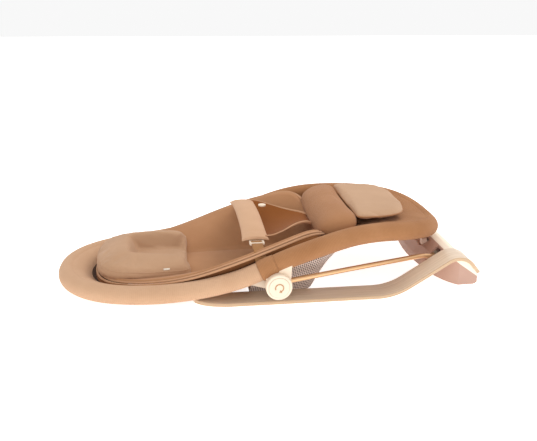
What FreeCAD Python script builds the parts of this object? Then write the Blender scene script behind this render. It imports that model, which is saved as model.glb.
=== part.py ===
"""Folding bouncer seat, stored flat: bentwood runners, a sprung wire frame and a padded seat.

The frame: millimetres, +X to the foot end, +Z up, Y across, floor at Z = 0.
Everything is built for the left side (Y < 0) and mirrored where the object has a pair.
Lengths along X are drawn from a point 14 mm footward of the middle, and moved as a part is saved.
"""

import FreeCAD
import Part

import math
import os

from FreeCAD import Vector

os.makedirs("parts", exist_ok=True)

# ---- driving dimensions ----
HUB_X = -4.0            # axis of the two side hubs, which the seat turns on
HUB_Z = 53.0
HUB_R = 28.0            # hub cap
HUB_FACE_Y = 229.0      # outer face of the hub, from the middle plane
MIDDLE_X = 14.0         # from the drawing's X = 0 to the middle of the whole length
FOLD_X = 380.0          # axis on which the wire frame folds, inside the crosspiece
FOLD_Z = 56.0
RUNNER_INNER = 142.0    # inner edge of a runner, from the middle plane
RUNNER_WIDTH = 60.0
RUNNER_THICK = 8.0
PAD_THICK = 2.0         # rubber pads under the runners
WIRE_R = 5.5            # gold wire of the spring frame
HOOP_R = 9.5            # aluminium seat tube
COVER_R = 20.0          # padded sleeve over the tube
WEBBING = 24.0          # webbing width
FIT = 0.05              # radial clearance of a turning fit
GAP = 0.5               # clearance between parts that move past each other

X_AXIS = Vector(1, 0, 0)
Y_AXIS = Vector(0, 1, 0)


def save(name, *solids):
    """One STEP file per sub-part; like pieces share one file as separate solids."""
    shape = solids[0] if len(solids) == 1 else Part.makeCompound(list(solids))
    for solid in shape.Solids:
        assert solid.isValid() and solid.Volume > 1.0, name
    shape = shape.translated(Vector(MIDDLE_X, 0, 0))
    shape.exportStep(f"parts/{name}.step")


def mirrored(shape):
    """The same part on the other side of the middle plane."""
    return shape.mirror(Vector(0, 0, 0), Y_AXIS)


def pair(name, left):
    """A left part and its mirror image, as two sub-parts."""
    save(f"{name}_left", left)
    save(f"{name}_right", mirrored(left))


def box(x0, x1, y0, y1, z0, z1):
    return Part.makeBox(x1 - x0, y1 - y0, z1 - z0, Vector(x0, y0, z0))


def rod(x, z, radius, y0, y1):
    """A cylinder along Y."""
    return Part.makeCylinder(radius, y1 - y0, Vector(x, y0, z), Y_AXIS)


def softened(solid, radius, picks=None):
    """Rounds the edges that picks chooses, or the solid as it is if they can't be rounded."""
    edges = [e for e in solid.Edges if picks is None or picks(e)]
    try:
        rounded = solid.makeFillet(radius, edges)
    except Part.OCCError:
        return solid
    return rounded if rounded.isValid() else solid


def rounded_wire(points, share=0.45):
    """Straight runs joined by tangent arcs, each arc as large as its two runs allow."""
    pts = [Vector(*p) for p in points]
    edges = []
    start = pts[0]
    for a, b, c in zip(pts, pts[1:], pts[2:]):
        back, ahead = (a - b), (c - b)
        reach = share * min(back.Length, ahead.Length)
        back.normalize()
        ahead.normalize()
        enter, leave = b + back * reach, b + ahead * reach
        half = 0.5 * (math.pi - back.getAngle(ahead))
        radius = reach / math.tan(half)
        middle_dir = (back + ahead).normalize()
        middle = b + middle_dir * (radius / math.cos(half) - radius)
        edges.append(Part.LineSegment(start, enter).toShape())
        edges.append(Part.Arc(enter, middle, leave).toShape())
        start = leave
    edges.append(Part.LineSegment(start, pts[-1]).toShape())
    return Part.Wire(edges)


def tube(points, radius, share=0.45):
    """A round bar along a rounded path."""
    path = rounded_wire(points, share)
    start, ahead = Vector(*points[0]), Vector(*points[1]) - Vector(*points[0])
    ring = Part.Wire([Part.makeCircle(radius, start, ahead)])
    solid = path.makePipeShell([ring], True, False)
    exact = math.pi * radius**2 * path.Length
    assert abs(solid.Volume / exact - 1) < 0.01, (solid.Volume, exact)
    return solid


def lofted(sections):
    """A closed solid through polygons with equal point counts, with straight faces between."""
    wires = [Part.makePolygon([Vector(*p) for p in s] + [Vector(*s[0])]) for s in sections]
    return Part.makeLoft(wires, True, True)


def slab(stations):
    """A cushion-like slab: at each X a rectangle of half width, top and bottom."""
    return lofted([[(x, -w, b), (x, w, b), (x, w, t), (x, -w, t)] for x, w, t, b in stations])


def bucket(stations, wall=9.0):
    """A padded trough: at each X a U of rim half width and height, bed half width and height."""
    sections = []
    for x, rim_w, rim_z, bed_w, bed_z in stations:
        sections.append([
            (x, -rim_w, rim_z), (x, -bed_w, bed_z), (x, bed_w, bed_z), (x, rim_w, rim_z),
            (x, rim_w - wall, rim_z), (x, bed_w - wall * 0.5, bed_z + wall),
            (x, -bed_w + wall * 0.5, bed_z + wall), (x, -rim_w + wall, rim_z),
        ])
    return lofted(sections)


# ---- runners: steam-bent laminated wood, laid flat, arched at the foot end ----
# The upper face in side view: tail, floor run, rise, arch and toe, with the bend radii.
RUNNER_LINE = [(-181.0, 16.0), (-112.0, 10.0), (257.0, 10.0), (408.0, 105.0), (452.0, 53.0)]
RUNNER_BENDS = [150.0, 130.0, 46.0]


def offset_line(line, distance):
    """The corners of a line moved sideways, by where its shifted runs meet."""
    runs = []
    for (x0, z0), (x1, z1) in zip(line, line[1:]):
        length = math.hypot(x1 - x0, z1 - z0)
        nx, nz = (z1 - z0) / length * distance, -(x1 - x0) / length * distance
        runs.append(((x0 + nx, z0 + nz), (x1 + nx, z1 + nz)))
    corners = [runs[0][0]]
    for ((x1, z1), (x2, z2)), ((x3, z3), (x4, z4)) in zip(runs, runs[1:]):
        cross = (x1 - x2) * (z3 - z4) - (z1 - z2) * (x3 - x4)
        p, q = x1 * z2 - z1 * x2, x3 * z4 - z3 * x4
        corners.append(((p * (x3 - x4) - (x1 - x2) * q) / cross,
                        (p * (z3 - z4) - (z1 - z2) * q) / cross))
    corners.append(runs[-1][1])
    return corners


def bent_edges(line, radii, y):
    """A side-view line with its corners bent to the given radii, as edges at one Y."""
    pts = [Vector(x, y, z) for x, z in line]
    edges, start = [], pts[0]
    for a, b, c, radius in zip(pts, pts[1:], pts[2:], radii):
        back, ahead = (a - b).normalize(), (c - b).normalize()
        half = 0.5 * (math.pi - back.getAngle(ahead))
        reach = radius * math.tan(half)
        middle = b + (back + ahead).normalize() * (radius / math.cos(half) - radius)
        edges.append(Part.LineSegment(start, b + back * reach).toShape())
        edges.append(Part.Arc(b + back * reach, middle, b + ahead * reach).toShape())
        start = b + ahead * reach
    edges.append(Part.LineSegment(start, pts[-1]).toShape())
    return edges, pts[0], pts[-1]


def band(line, radii, thick, y0, width):
    """A bent band: its upper line, the line one thickness below, and two straight ends."""
    top, t0, t1 = bent_edges(line, radii, y0)
    tail, rise, arch = radii
    below = [tail + thick, rise + thick, arch - thick]
    low, b0, b1 = bent_edges(offset_line(line, thick), below, y0)
    ends = [Part.LineSegment(t1, b1).toShape(), Part.LineSegment(b0, t0).toShape()]
    outline = Part.Wire(Part.__sortEdges__(top + low + ends))
    return Part.Face(outline).extrude(Vector(0, width, 0))


runner = band(RUNNER_LINE, RUNNER_BENDS, RUNNER_THICK, -RUNNER_INNER - RUNNER_WIDTH, RUNNER_WIDTH)
runner = softened(runner, 1.5, lambda e: e.BoundBox.YLength < 1.0)
pair("runner", runner)

# Rubber pads glued under each runner: the object stands on these.
PAD_SPANS = [(-15.0, 25.0), (195.0, 235.0)]
PAD_Y = -RUNNER_INNER - RUNNER_WIDTH / 2
pads = []
for x0, x1 in PAD_SPANS:
    pad = softened(box(x0, x1, PAD_Y - 22, PAD_Y + 22, 0, PAD_THICK), 8.0,
                   lambda e: e.BoundBox.ZLength > 1.9)
    pads += [pad, mirrored(pad)]
save("foot_pads", *pads)

# ---- crosspiece: a moulded two-shell housing that joins the runners under their arches ----
SPLIT_Z = 46.0          # where the two shells meet


PLAN_X, PLAN_DEEP, PLAN_HALF = 425.0, 78.0, 205.0


def nose_x(y):
    """The front edge is bowed towards the hubs: a half ellipse in plan."""
    return PLAN_X - PLAN_DEEP * math.sqrt(1.0 - (y / PLAN_HALF) ** 2)


def housing_section(y, inset=0.0):
    """Side-view outline of the housing between the runners, at one Y."""
    x = nose_x(y)
    outline = [(x, 27), (x + 4, 42), (x + 15, 65), (393, 83), (403, 87), (412, 86),
               (429, 73), (445, 50), (448, 32), (441, 23), (x + 22, 21)]
    cx, cz = 405.0, 48.0
    points = []
    for px, pz in outline:
        length = math.hypot(px - cx, pz - cz)
        scale = (length - inset) / length
        points.append((cx + (px - cx) * scale, y, cz + (pz - cz) * scale))
    return points


MIDDLE = [-139.0, -110.0, -75.0, -35.0, 0.0, 35.0, 75.0, 110.0, 139.0]
housing = lofted([housing_section(y) for y in MIDDLE])
cavity = lofted([housing_section(y, 5.0) for y in MIDDLE[1:-1]])
rib_limit = lofted([housing_section(y, 2.0) for y in MIDDLE])

# The end blocks fill the arches and carry the runners on their upper faces.
END_OUTLINE = [(340, 27), (352, 24), (438, 24), (446, 28), (449, 35), (449, 120), (340, 120)]
BLOCK_INNER, BLOCK_OUTER = 136.0, 196.0


def under_arch(y0, y1):
    """Everything below the runner's underside, from y0 to y1."""
    tail, rise, arch = RUNNER_BENDS
    below = [tail + RUNNER_THICK, rise + RUNNER_THICK, arch - RUNNER_THICK]
    edges, start, end = bent_edges(offset_line(RUNNER_LINE, RUNNER_THICK), below, y0)
    corners = [end, Vector(end.x, y0, -60), Vector(start.x, y0, -60), start]
    edges += [Part.LineSegment(a, b).toShape() for a, b in zip(corners, corners[1:])]
    face = Part.Face(Part.Wire(Part.__sortEdges__(edges)))
    return face.extrude(Vector(0, y1 - y0, 0))


outline = [Vector(x, -BLOCK_OUTER, z) for x, z in END_OUTLINE]
block = Part.Face(Part.makePolygon(outline + outline[:1])).extrude(Vector(0, BLOCK_OUTER - BLOCK_INNER, 0))
block = block.common(under_arch(-BLOCK_OUTER - 1, -BLOCK_INNER + 1))
plan = Part.Ellipse(Vector(PLAN_X, 0, 0), PLAN_HALF, PLAN_DEEP).toShape()
plan.rotate(Vector(PLAN_X, 0, 0), Vector(0, 0, 1), 90)
plan = Part.Face(Part.Wire(plan)).extrude(Vector(0, 0, 150))
block = block.common(plan.fuse(box(PLAN_X, 460, -PLAN_HALF, PLAN_HALF, 0, 150)))
above = box(300, 500, -300, 300, SPLIT_Z, 200)
below = box(300, 500, -300, 300, -50, SPLIT_Z)

# Release buttons sit in bores in the front of the upper shell, and travel along X.
BUTTON_R, BUTTON_Y, BUTTON_Z = 9.0, 43.0, 72.0
BUTTON_FACE = 367.0
# The legs of the wire frame come in through slots in the front, long enough for the whole fold.
LEG_Y = 115.0
BUSH_R, BUSH_Y0, BUSH_Y1 = 12.0, 66.0, 92.0

# The wire frame's path: out of a hub, along under the seat, and across inside the crosspiece.
WIRE_END_Y = 200.0
wire_leg = [(HUB_X + 14, -WIRE_END_Y, HUB_Z + 1), (180.0, -160.0, 61.5), (348.0, -118.0, 66.0),
            (FOLD_X, -107.0, FOLD_Z)]
wire_path = wire_leg + [(x, -y, z) for x, y, z in reversed(wire_leg)]

whole = housing.cut(cavity)
ribs = [box(FOLD_X - 16, FOLD_X + 16, y, y + 18, 26, 76) for y in (-88.0, 70.0)]
ribs += [box(352, 440, y, y + 4, 28, 78) for y in (-24.0, 20.0)]
for rib in ribs:
    whole = whole.fuse(rib.common(rib_limit))
bore = rod(FOLD_X, FOLD_Z, WIRE_R + 2.5, -100, 100)
seats = rod(FOLD_X, FOLD_Z, BUSH_R, -BUSH_Y1, BUSH_Y1)
slots = [box(330, FOLD_X + 10, y - 19, y + 19, 43, 100) for y in (-LEG_Y, LEG_Y)]
bores = [Part.makeCylinder(BUTTON_R + GAP, 46, Vector(340, y, BUTTON_Z), X_AXIS)
         for y in (-BUTTON_Y, BUTTON_Y)]
for cutter in [bore, seats] + slots + bores:
    whole = whole.cut(cutter)
upper = whole.common(above).fuse(block.common(above)).fuse(mirrored(block.common(above)))
lower = whole.common(below).fuse(block.common(below)).fuse(mirrored(block.common(below)))

# Four screws in the end blocks hold the shells together from below.
SCREW_PLACES = [(x, y, rise) for x, rise in ((402.0, 38.0), (430.0, 22.0)) for y in (-167.0, 167.0)]
screws = []
for x, y, rise in SCREW_PLACES:
    head_z = 33.0
    hole = Part.makeCylinder(4.5, head_z, Vector(x, y, 0)).fuse(
        Part.makeCylinder(2.0, rise, Vector(x, y, head_z)))
    upper, lower = upper.cut(hole), lower.cut(hole)
    screws.append(Part.makeCylinder(4.5, 3, Vector(x, y, head_z - 3)).fuse(
        Part.makeCylinder(2.0, rise - GAP, Vector(x, y, head_z))))
save("crosspiece_upper", upper)
save("crosspiece_lower", lower)
save("crosspiece_screws", *screws)

# Nylon bushes in the shells carry the cross bar of the wire frame.
bush = rod(FOLD_X, FOLD_Z, BUSH_R, -BUSH_Y1, -BUSH_Y0).cut(
    rod(FOLD_X, FOLD_Z, WIRE_R + FIT, -BUSH_Y1, -BUSH_Y0))
pair("fold_bush", bush)

button = Part.makeCylinder(BUTTON_R, 12, Vector(BUTTON_FACE, -BUTTON_Y, BUTTON_Z), X_AXIS)
button = softened(button, 1.2, lambda e: e.BoundBox.XMax < BUTTON_FACE + 1)
pair("fold_button", button)

# ---- spring frame: one gold wire from hub to hub, hinged in the crosspiece ----
wire = tube(wire_path, WIRE_R)
save("spring_wire", wire)

core = rod(HUB_X, HUB_Z, 25.5, -208.0, -192.0)
core = core.cut(rod(HUB_X, HUB_Z, 5.0 + FIT, -209, -191)).cut(wire)
pair("hub_core", core)

# ---- hubs: housing with its arm to the leg tube, pivot pin, cap, spring and button ----
BACK_START = (-66.0, -193.5, 69.5)
LEG_START = (-34.0, -194.5, 84.0)
leg_half = [LEG_START, (5.0, -194.5, 100.0), (55.0, -194.5, 117.0), (110.0, -187.5, 131.5),
            (165.0, -170.0, 140.0), (228.0, -156.5, 142.0), (292.0, -147.0, 138.0),
            (344.0, -118.0, 131.0), (376.0, -72.0, 120.0), (385.0, -24.0, 114.0)]
back_half = [BACK_START, (-95.0, -191.5, 59.5), (-150.0, -187.0, 45.5), (-200.0, -181.5, 36.0),
             (-260.0, -174.0, 28.0), (-320.0, -163.0, 23.8), (-378.0, -142.0, 21.6),
             (-424.0, -106.0, 21.0), (-452.0, -60.0, 21.0), (-460.0, -18.0, 21.0)]


def hoop_path(half, skip=0.0):
    """A half path and its mirror image; skip moves both ends along their first runs."""
    first, second = Vector(*half[0]), Vector(*half[1])
    start = first + (second - first).normalize() * skip
    left = [tuple(start)] + half[1:]
    return left + [(x, -y, z) for x, y, z in reversed(left)]


leg_tube = tube(hoop_path(leg_half), HOOP_R)
back_tube = tube(hoop_path(back_half), HOOP_R)


def plate(outline, y0, y1):
    """A flat arm cut to a side-view outline, between two distances from the middle plane."""
    points = [Vector(x, -y1, z) for x, z in outline]
    return Part.Face(Part.makePolygon(points + points[:1])).extrude(Vector(0, y1 - y0, 0))


arm = [(-27, 60), (-37, 82), (26, 106), (23, 60)]
housing_left = rod(HUB_X, HUB_Z, 27.5, -213.0, -208.5).fuse(plate(arm, 208.5, 213.0))
saddle = plate([(-30, 80.5), (-30, 92), (22, 98), (22, 90), (7, 80.5)], 187.0, 211.0)
housing_left = housing_left.fuse(saddle).cut(rod(HUB_X, HUB_Z, 5.0, -214, -180)).cut(leg_tube)
pair("hub_housing", max(housing_left.Solids, key=lambda v: v.Volume))

back_arm = [(-18, 34), (-60, 46), (-84, 58), (-78, 74), (-66, 77), (-60, 66),
            (-44, 58), (-20, 64), (14, 64), (16, 40)]
back_bracket = plate(back_arm, 184.5, 191.0)
back_bracket = back_bracket.cut(rod(HUB_X, HUB_Z, 5.0 + FIT, -214, -180)).cut(back_tube)
pair("back_bracket", back_bracket.Solids[0])

pin = rod(HUB_X, HUB_Z, 5.0, -213.0, -182.0)
pin = pin.fuse(rod(HUB_X, HUB_Z, 8.0, -184.0, -181.0))
pair("pivot_pin", pin)

CAP_WALL = 5.5
cap = rod(HUB_X, HUB_Z, HUB_R, -HUB_FACE_Y, -213.0)
cap = softened(cap, 2.5, lambda e: e.BoundBox.YMin < -HUB_FACE_Y + 0.1 and e.BoundBox.YLength < 0.1)
cap = cap.cut(rod(HUB_X, HUB_Z, HUB_R - CAP_WALL, -HUB_FACE_Y - 1, -215.5))
pair("hub_cap", cap)
recline = rod(HUB_X, HUB_Z, HUB_R - CAP_WALL - 0.4, -HUB_FACE_Y - 1.5, -222.5)
recline = softened(recline, 1.5, lambda e: e.BoundBox.YMax < -HUB_FACE_Y)
pair("recline_button", recline)
spring = rod(HUB_X, HUB_Z, 9.0, -222.5, -215.5).cut(rod(HUB_X, HUB_Z, 7.0, -223, -215))
pair("button_spring", spring)

# ---- seat tubes and their padded sleeves ----
save("leg_tube", leg_tube)
save("back_tube", back_tube)
hub_room = box(-40, 32, -216, -182, 50, 100).fuse(box(-40, 32, -216, -206, 50, 112))
hollow = HOOP_R + 0.4
leg_cover = tube(hoop_path(leg_half, 6.0), COVER_R).cut(tube(hoop_path(leg_half), hollow))
leg_cover = leg_cover.cut(hub_room).cut(mirrored(hub_room))
back_cover = tube(hoop_path(back_half, 20.0), COVER_R).cut(tube(hoop_path(back_half), hollow))
save("leg_sleeve", *leg_cover.Solids)
save("back_sleeve", *back_cover.Solids)

# ---- fabric seat: padded troughs, mesh sling below, pillow, knee block and leg flap ----
back_liner = bucket([(-426, 36, 36, 32, 12), (-400, 78, 38, 68, 8), (-340, 121, 42, 104, 6),
                     (-240, 148, 52, 124, 6), (-150, 161, 68, 130, 8), (-80, 168, 84, 132, 9)])
save("back_liner", back_liner)
seat_liner = bucket([(-56, 169, 92, 132, 9), (0, 169, 110, 130, 9), (55, 166, 124, 126, 13),
                     (80, 163, 130, 125, 52), (98, 158, 134, 123, 83)])
save("seat_liner", seat_liner)
mesh = bucket([(-56, 173.0, 96, 137.5, 4), (0, 173.0, 112, 136.5, 4), (66, 172.0, 128, 134.5, 5.5),
               (98, 164.5, 134, 130, 72)], 2.5)
save("mesh_sling", mesh)
pillow = slab([(-412, 34, 50, 24), (-395, 58, 68, 22), (-330, 90, 80, 19), (-240, 106, 76, 20),
               (-195, 108, 70, 20)])
save("pillow", pillow)
knee = slab([(99, 138, 108, 92), (112, 143, 138, 98), (140, 146, 163, 112), (165, 138, 170, 124),
             (188, 134, 171, 152)])
save("knee_block", knee)
flap = slab([(188.5, 134, 171, 157), (250, 128, 170, 157), (300, 100, 166, 154), (318, 62, 161, 153)])
save("leg_flap", flap)
panel = slab([(190, 130, 142, 130), (290, 112, 137, 125), (332, 82, 131, 119), (358, 25, 125, 113)])
save("foot_panel", panel)

# ---- harness: lap belt sleeve, webbing, ladder-lock adjusters and crotch panel ----
BELT_X0, BELT_X1 = -66.0, -16.0
BELT_Z = 133.0
belt = lofted([[(BELT_X0, y, z), (BELT_X1, y, z), (BELT_X1, y, z + 9), (BELT_X0, y, z + 9)]
               for y, z in ((-132, BELT_Z - 4), (-60, BELT_Z + 6), (60, BELT_Z + 6), (132, BELT_Z - 4))])
save("lap_belt", belt)
MID_X = -41.0
lock = box(MID_X - 16, MID_X + 16, -152, -135, 121, 127)
lock = lock.cut(box(MID_X - 12.5, MID_X + 12.5, -149, -145, 110, 140))
lock = lock.cut(box(MID_X - 12.5, MID_X + 12.5, -142, -138, 110, 140))
lock = softened(lock, 1.0)
pair("strap_adjuster", lock)
half_web = WEBBING / 2
web = lofted([[(MID_X + dx - half_web, y, z), (MID_X + dx + half_web, y, z),
               (MID_X + dx + half_web, y, z + 2), (MID_X + dx - half_web, y, z + 2)]
              for dx, y, z in ((0, -152.5, 122), (2, -162, 117), (4, -169, 110), (5, -173, 105))])
pair("waist_webbing", web)
crotch = lofted([[(x, -w, z), (x, w, z), (x, w, z + 7), (x, -w, z + 7)]
                 for x, w, z in ((-15.5, 120, 134), (30, 72, 132), (72, 38, 122), (93, 30, 112))])
save("crotch_panel", crotch)
badge = Part.makeCylinder(9.0, 3.0, Vector(-2.0, 60.0, 141.2))
save("belt_snap", badge)
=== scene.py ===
"""The look of a folding bouncer seat, stored flat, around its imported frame. Metres; +X foot end, +Z up."""

import math

import bmesh
import bpy
import numpy as np
from mathutils import Matrix, Vector
from mathutils.bvhtree import BVHTree


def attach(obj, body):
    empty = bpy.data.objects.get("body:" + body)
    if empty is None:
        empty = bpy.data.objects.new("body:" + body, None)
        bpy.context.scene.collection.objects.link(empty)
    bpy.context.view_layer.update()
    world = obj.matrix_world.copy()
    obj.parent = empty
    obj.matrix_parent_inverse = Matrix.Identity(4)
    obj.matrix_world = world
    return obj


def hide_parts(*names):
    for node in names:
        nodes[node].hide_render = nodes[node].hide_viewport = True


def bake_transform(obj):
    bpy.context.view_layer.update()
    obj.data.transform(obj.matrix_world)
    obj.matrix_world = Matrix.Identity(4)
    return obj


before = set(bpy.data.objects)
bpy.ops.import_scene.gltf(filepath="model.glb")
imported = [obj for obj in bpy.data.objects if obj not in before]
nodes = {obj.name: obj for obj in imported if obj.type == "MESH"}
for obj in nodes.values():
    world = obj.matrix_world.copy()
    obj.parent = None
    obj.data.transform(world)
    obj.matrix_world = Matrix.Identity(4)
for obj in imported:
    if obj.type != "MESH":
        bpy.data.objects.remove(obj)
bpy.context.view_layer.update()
scene = bpy.context.scene

# ---- Camera, floor and lights ----
# A long lens a little to the head side and above; a seamless pale floor; one large soft
# light high behind the foot end, a weaker one from the front, and an even white surround.
AIM = Vector((0.0195, 0.0, 0.1235))
AZIMUTH, ELEVATION, ROLL = math.radians(-8.5), math.radians(19.0), math.radians(0.6)
DISTANCE, FOCAL_MM = 1.75, 50.0


def look_matrix(aim, azimuth, elevation, roll, distance):
    """A camera pose: back along the view direction from aim, then turned about that direction."""
    ahead = Vector((-math.sin(azimuth) * math.cos(elevation), math.cos(azimuth) * math.cos(elevation),
                    -math.sin(elevation)))
    right = ahead.cross(Vector((0, 0, 1))).normalized()
    up = right.cross(ahead)
    turned = right * math.cos(roll) + up * math.sin(roll)
    up = up * math.cos(roll) - right * math.sin(roll)
    pose = Matrix((turned, up, -ahead)).transposed().to_4x4()
    pose.translation = aim - ahead * distance
    return pose


lens = bpy.data.cameras.new("camera")
lens.lens, lens.sensor_width = FOCAL_MM, 36.0
camera = bpy.data.objects.new("camera", lens)
scene.collection.objects.link(camera)
camera.matrix_world = look_matrix(AIM, AZIMUTH, ELEVATION, ROLL, DISTANCE)
scene.camera = camera
scene.view_settings.view_transform = "Standard"


def area_light(name, place, target, size, power, colour):
    """A square soft light at place, facing target."""
    data = bpy.data.lights.new(name, "AREA")
    data.shape, data.size, data.energy, data.color = "SQUARE", size, power, colour
    light = bpy.data.objects.new(name, data)
    scene.collection.objects.link(light)
    light.location = place
    light.rotation_euler = (Vector(target) - Vector(place)).to_track_quat("-Z", "Y").to_euler()


area_light("key", (1.1, 0.6, 2.0), (0, 0, 0), 1.2, 19.0, (1.0, 0.97, 0.93))
area_light("fill", (-0.5, -2.2, 0.7), (0.1, 0, 0.08), 1.4, 6.0, (1.0, 0.97, 0.93))
world = bpy.data.worlds.new("surround")
world.use_nodes = True
world.node_tree.nodes["Background"].inputs["Color"].default_value = (1.0, 1.0, 1.0, 1.0)
world.node_tree.nodes["Background"].inputs["Strength"].default_value = 0.94
scene.world = world


def grid_mesh(name, points, wrap_u=False, wrap_v=False, uv=None, flip=False):
    """A mesh from a grid of points (rows u, columns v, xyz): one quad between four neighbours.

    wrap joins the last row or column to the first. uv is the distance along each direction in
    metres, unless given. flip turns the faces round.
    """
    points = np.asarray(points, float)
    nu, nv = points.shape[:2]
    index = np.arange(nu * nv).reshape(nu, nv)
    rows = np.arange(nu if wrap_u else nu - 1)
    cols = np.arange(nv if wrap_v else nv - 1)
    a = index[rows][:, cols]
    b = index[(rows + 1) % nu][:, cols]
    c = index[(rows + 1) % nu][:, (cols + 1) % nv]
    d = index[rows][:, (cols + 1) % nv]
    quads = np.stack([a, b, c, d], -1).reshape(-1, 4)
    if flip:
        quads = quads[:, ::-1]
    mesh = bpy.data.meshes.new(name)
    mesh.from_pydata(points.reshape(-1, 3), [], quads.tolist())
    if uv is None:
        step_u = np.linalg.norm(np.diff(points, axis=0, append=points[:1]), axis=-1).mean(1)
        step_v = np.linalg.norm(np.diff(points, axis=1, append=points[:, :1]), axis=-1).mean(0)
        along_u = np.concatenate([[0.0], np.cumsum(step_u)])
        along_v = np.concatenate([[0.0], np.cumsum(step_v)])
        corner_u = np.stack([rows, rows + 1, rows + 1, rows], -1)
        corner_v = np.stack([cols, cols, cols + 1, cols + 1], -1)
        uu = np.broadcast_to(along_u[corner_u][:, None, :], (len(rows), len(cols), 4))
        vv = np.broadcast_to(along_v[corner_v][None, :, :], (len(rows), len(cols), 4))
        uv = np.stack([uu, vv], -1).reshape(-1, 4, 2)
    if flip:
        uv = uv[:, ::-1]
    layer = mesh.uv_layers.new(name="cloth")
    layer.data.foreach_set("uv", uv.astype(np.float32).ravel())
    mesh.polygons.foreach_set("use_smooth", np.ones(len(mesh.polygons), bool))
    mesh.update()
    return mesh


def piece(name, mesh, body, material):
    """Puts a mesh in the scene as a named piece that rides on a body."""
    thing = bpy.data.objects.new(name, mesh)
    scene.collection.objects.link(thing)
    mesh.materials.clear()
    mesh.materials.append(material)
    if body:
        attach(thing, body)
    return thing


floor_grid = np.stack(np.meshgrid([-6.0, 6.0], [-6.0, 6.0], indexing="ij"), -1)
floor_grid = np.concatenate([floor_grid, np.full((2, 2, 1), -0.0005)], -1)
floor_material = bpy.data.materials.new("studio_floor")
floor_material.use_nodes = True
floor_shader = floor_material.node_tree.nodes["Principled BSDF"]
floor_shader.inputs["Base Color"].default_value = (0.93, 0.93, 0.93, 1.0)
floor_shader.inputs["Roughness"].default_value = 0.9
floor_shader.inputs["Emission Color"].default_value = (1.0, 1.0, 1.0, 1.0)
floor_shader.inputs["Emission Strength"].default_value = 0.75
piece("studio_floor", grid_mesh("studio_floor", floor_grid), None, floor_material)


def smoothed(points, count, closed=False):
    """A uniform cubic B-spline with these control points: each stretch is a blend of four.

    An open line keeps its end points, because each end is repeated twice more.
    """
    points = np.asarray(points, float)
    if closed:
        points = np.concatenate([points[-1:], points, points[:2]])
        spans = len(points) - 3
    else:
        points = np.concatenate([points[:1]] * 2 + [points] + [points[-1:]] * 2)
        spans = len(points) - 3
    t = np.linspace(0, spans, count, endpoint=not closed)
    i = np.minimum(t.astype(int), spans - 1)
    f = (t - i)[:, None]
    weights = [(1 - f) ** 3, 3 * f**3 - 6 * f**2 + 4, -3 * f**3 + 3 * f**2 + 3 * f + 1, f**3]
    return sum(w * points[i + k] for k, w in enumerate(weights)) / 6


def along(points, closed=False):
    """Unit directions along a line of points."""
    if closed:
        ahead = np.roll(points, -1, 0) - np.roll(points, 1, 0)
    else:
        ahead = np.gradient(points, axis=0)
    return ahead / np.linalg.norm(ahead, axis=1, keepdims=True)


def tube_points(path, radius, sides=32, closed=False, flat=1.0, up=(0, 0, 1)):
    """A tube: at each path point a circle of the given radius, square to the path.

    flat scales its height. The circle starts on the side and turns towards up.
    """
    ahead = along(path, closed)
    side = np.cross(ahead, np.asarray(up, float))
    side /= np.linalg.norm(side, axis=1, keepdims=True)
    high = np.cross(side, ahead)
    angle = np.linspace(0, 2 * np.pi, sides, endpoint=False)
    radius = np.broadcast_to(radius, (len(path),))[:, None, None]
    ring = side[:, None] * np.cos(angle)[None, :, None] + high[:, None] * np.sin(angle)[None, :, None] * flat
    return path[:, None] + ring * radius


def capped(grid):
    """A grid whose first and last rows shrink to their middles, which closes its ends."""
    first = grid[:1].mean(1, keepdims=True)
    last = grid[-1:].mean(1, keepdims=True)
    rows = [first + (grid[:1] - first) * s for s in (0.002, 0.6, 0.93)]
    ends = [last + (grid[-1:] - last) * s for s in (0.93, 0.6, 0.002)]
    return np.concatenate(rows + [grid] + ends)


# ---- Cloth finish ----
# Every fabric is yarn: a fine weave or rib that breaks the light, soft mottling of the dye, and
# a paler look where the pile catches light at the edge. One group serves every cloth.
def new_group(name, inputs, outputs):
    """A shader node group with named sockets; inputs give a default value each."""
    group = bpy.data.node_groups.new(name, "ShaderNodeTree")
    for label, kind, value in inputs:
        socket = group.interface.new_socket(label, in_out="INPUT", socket_type=kind)
        socket.default_value = value
    for label, kind in outputs:
        group.interface.new_socket(label, in_out="OUTPUT", socket_type=kind)
    return group, group.nodes.new("NodeGroupInput"), group.nodes.new("NodeGroupOutput")


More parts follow.
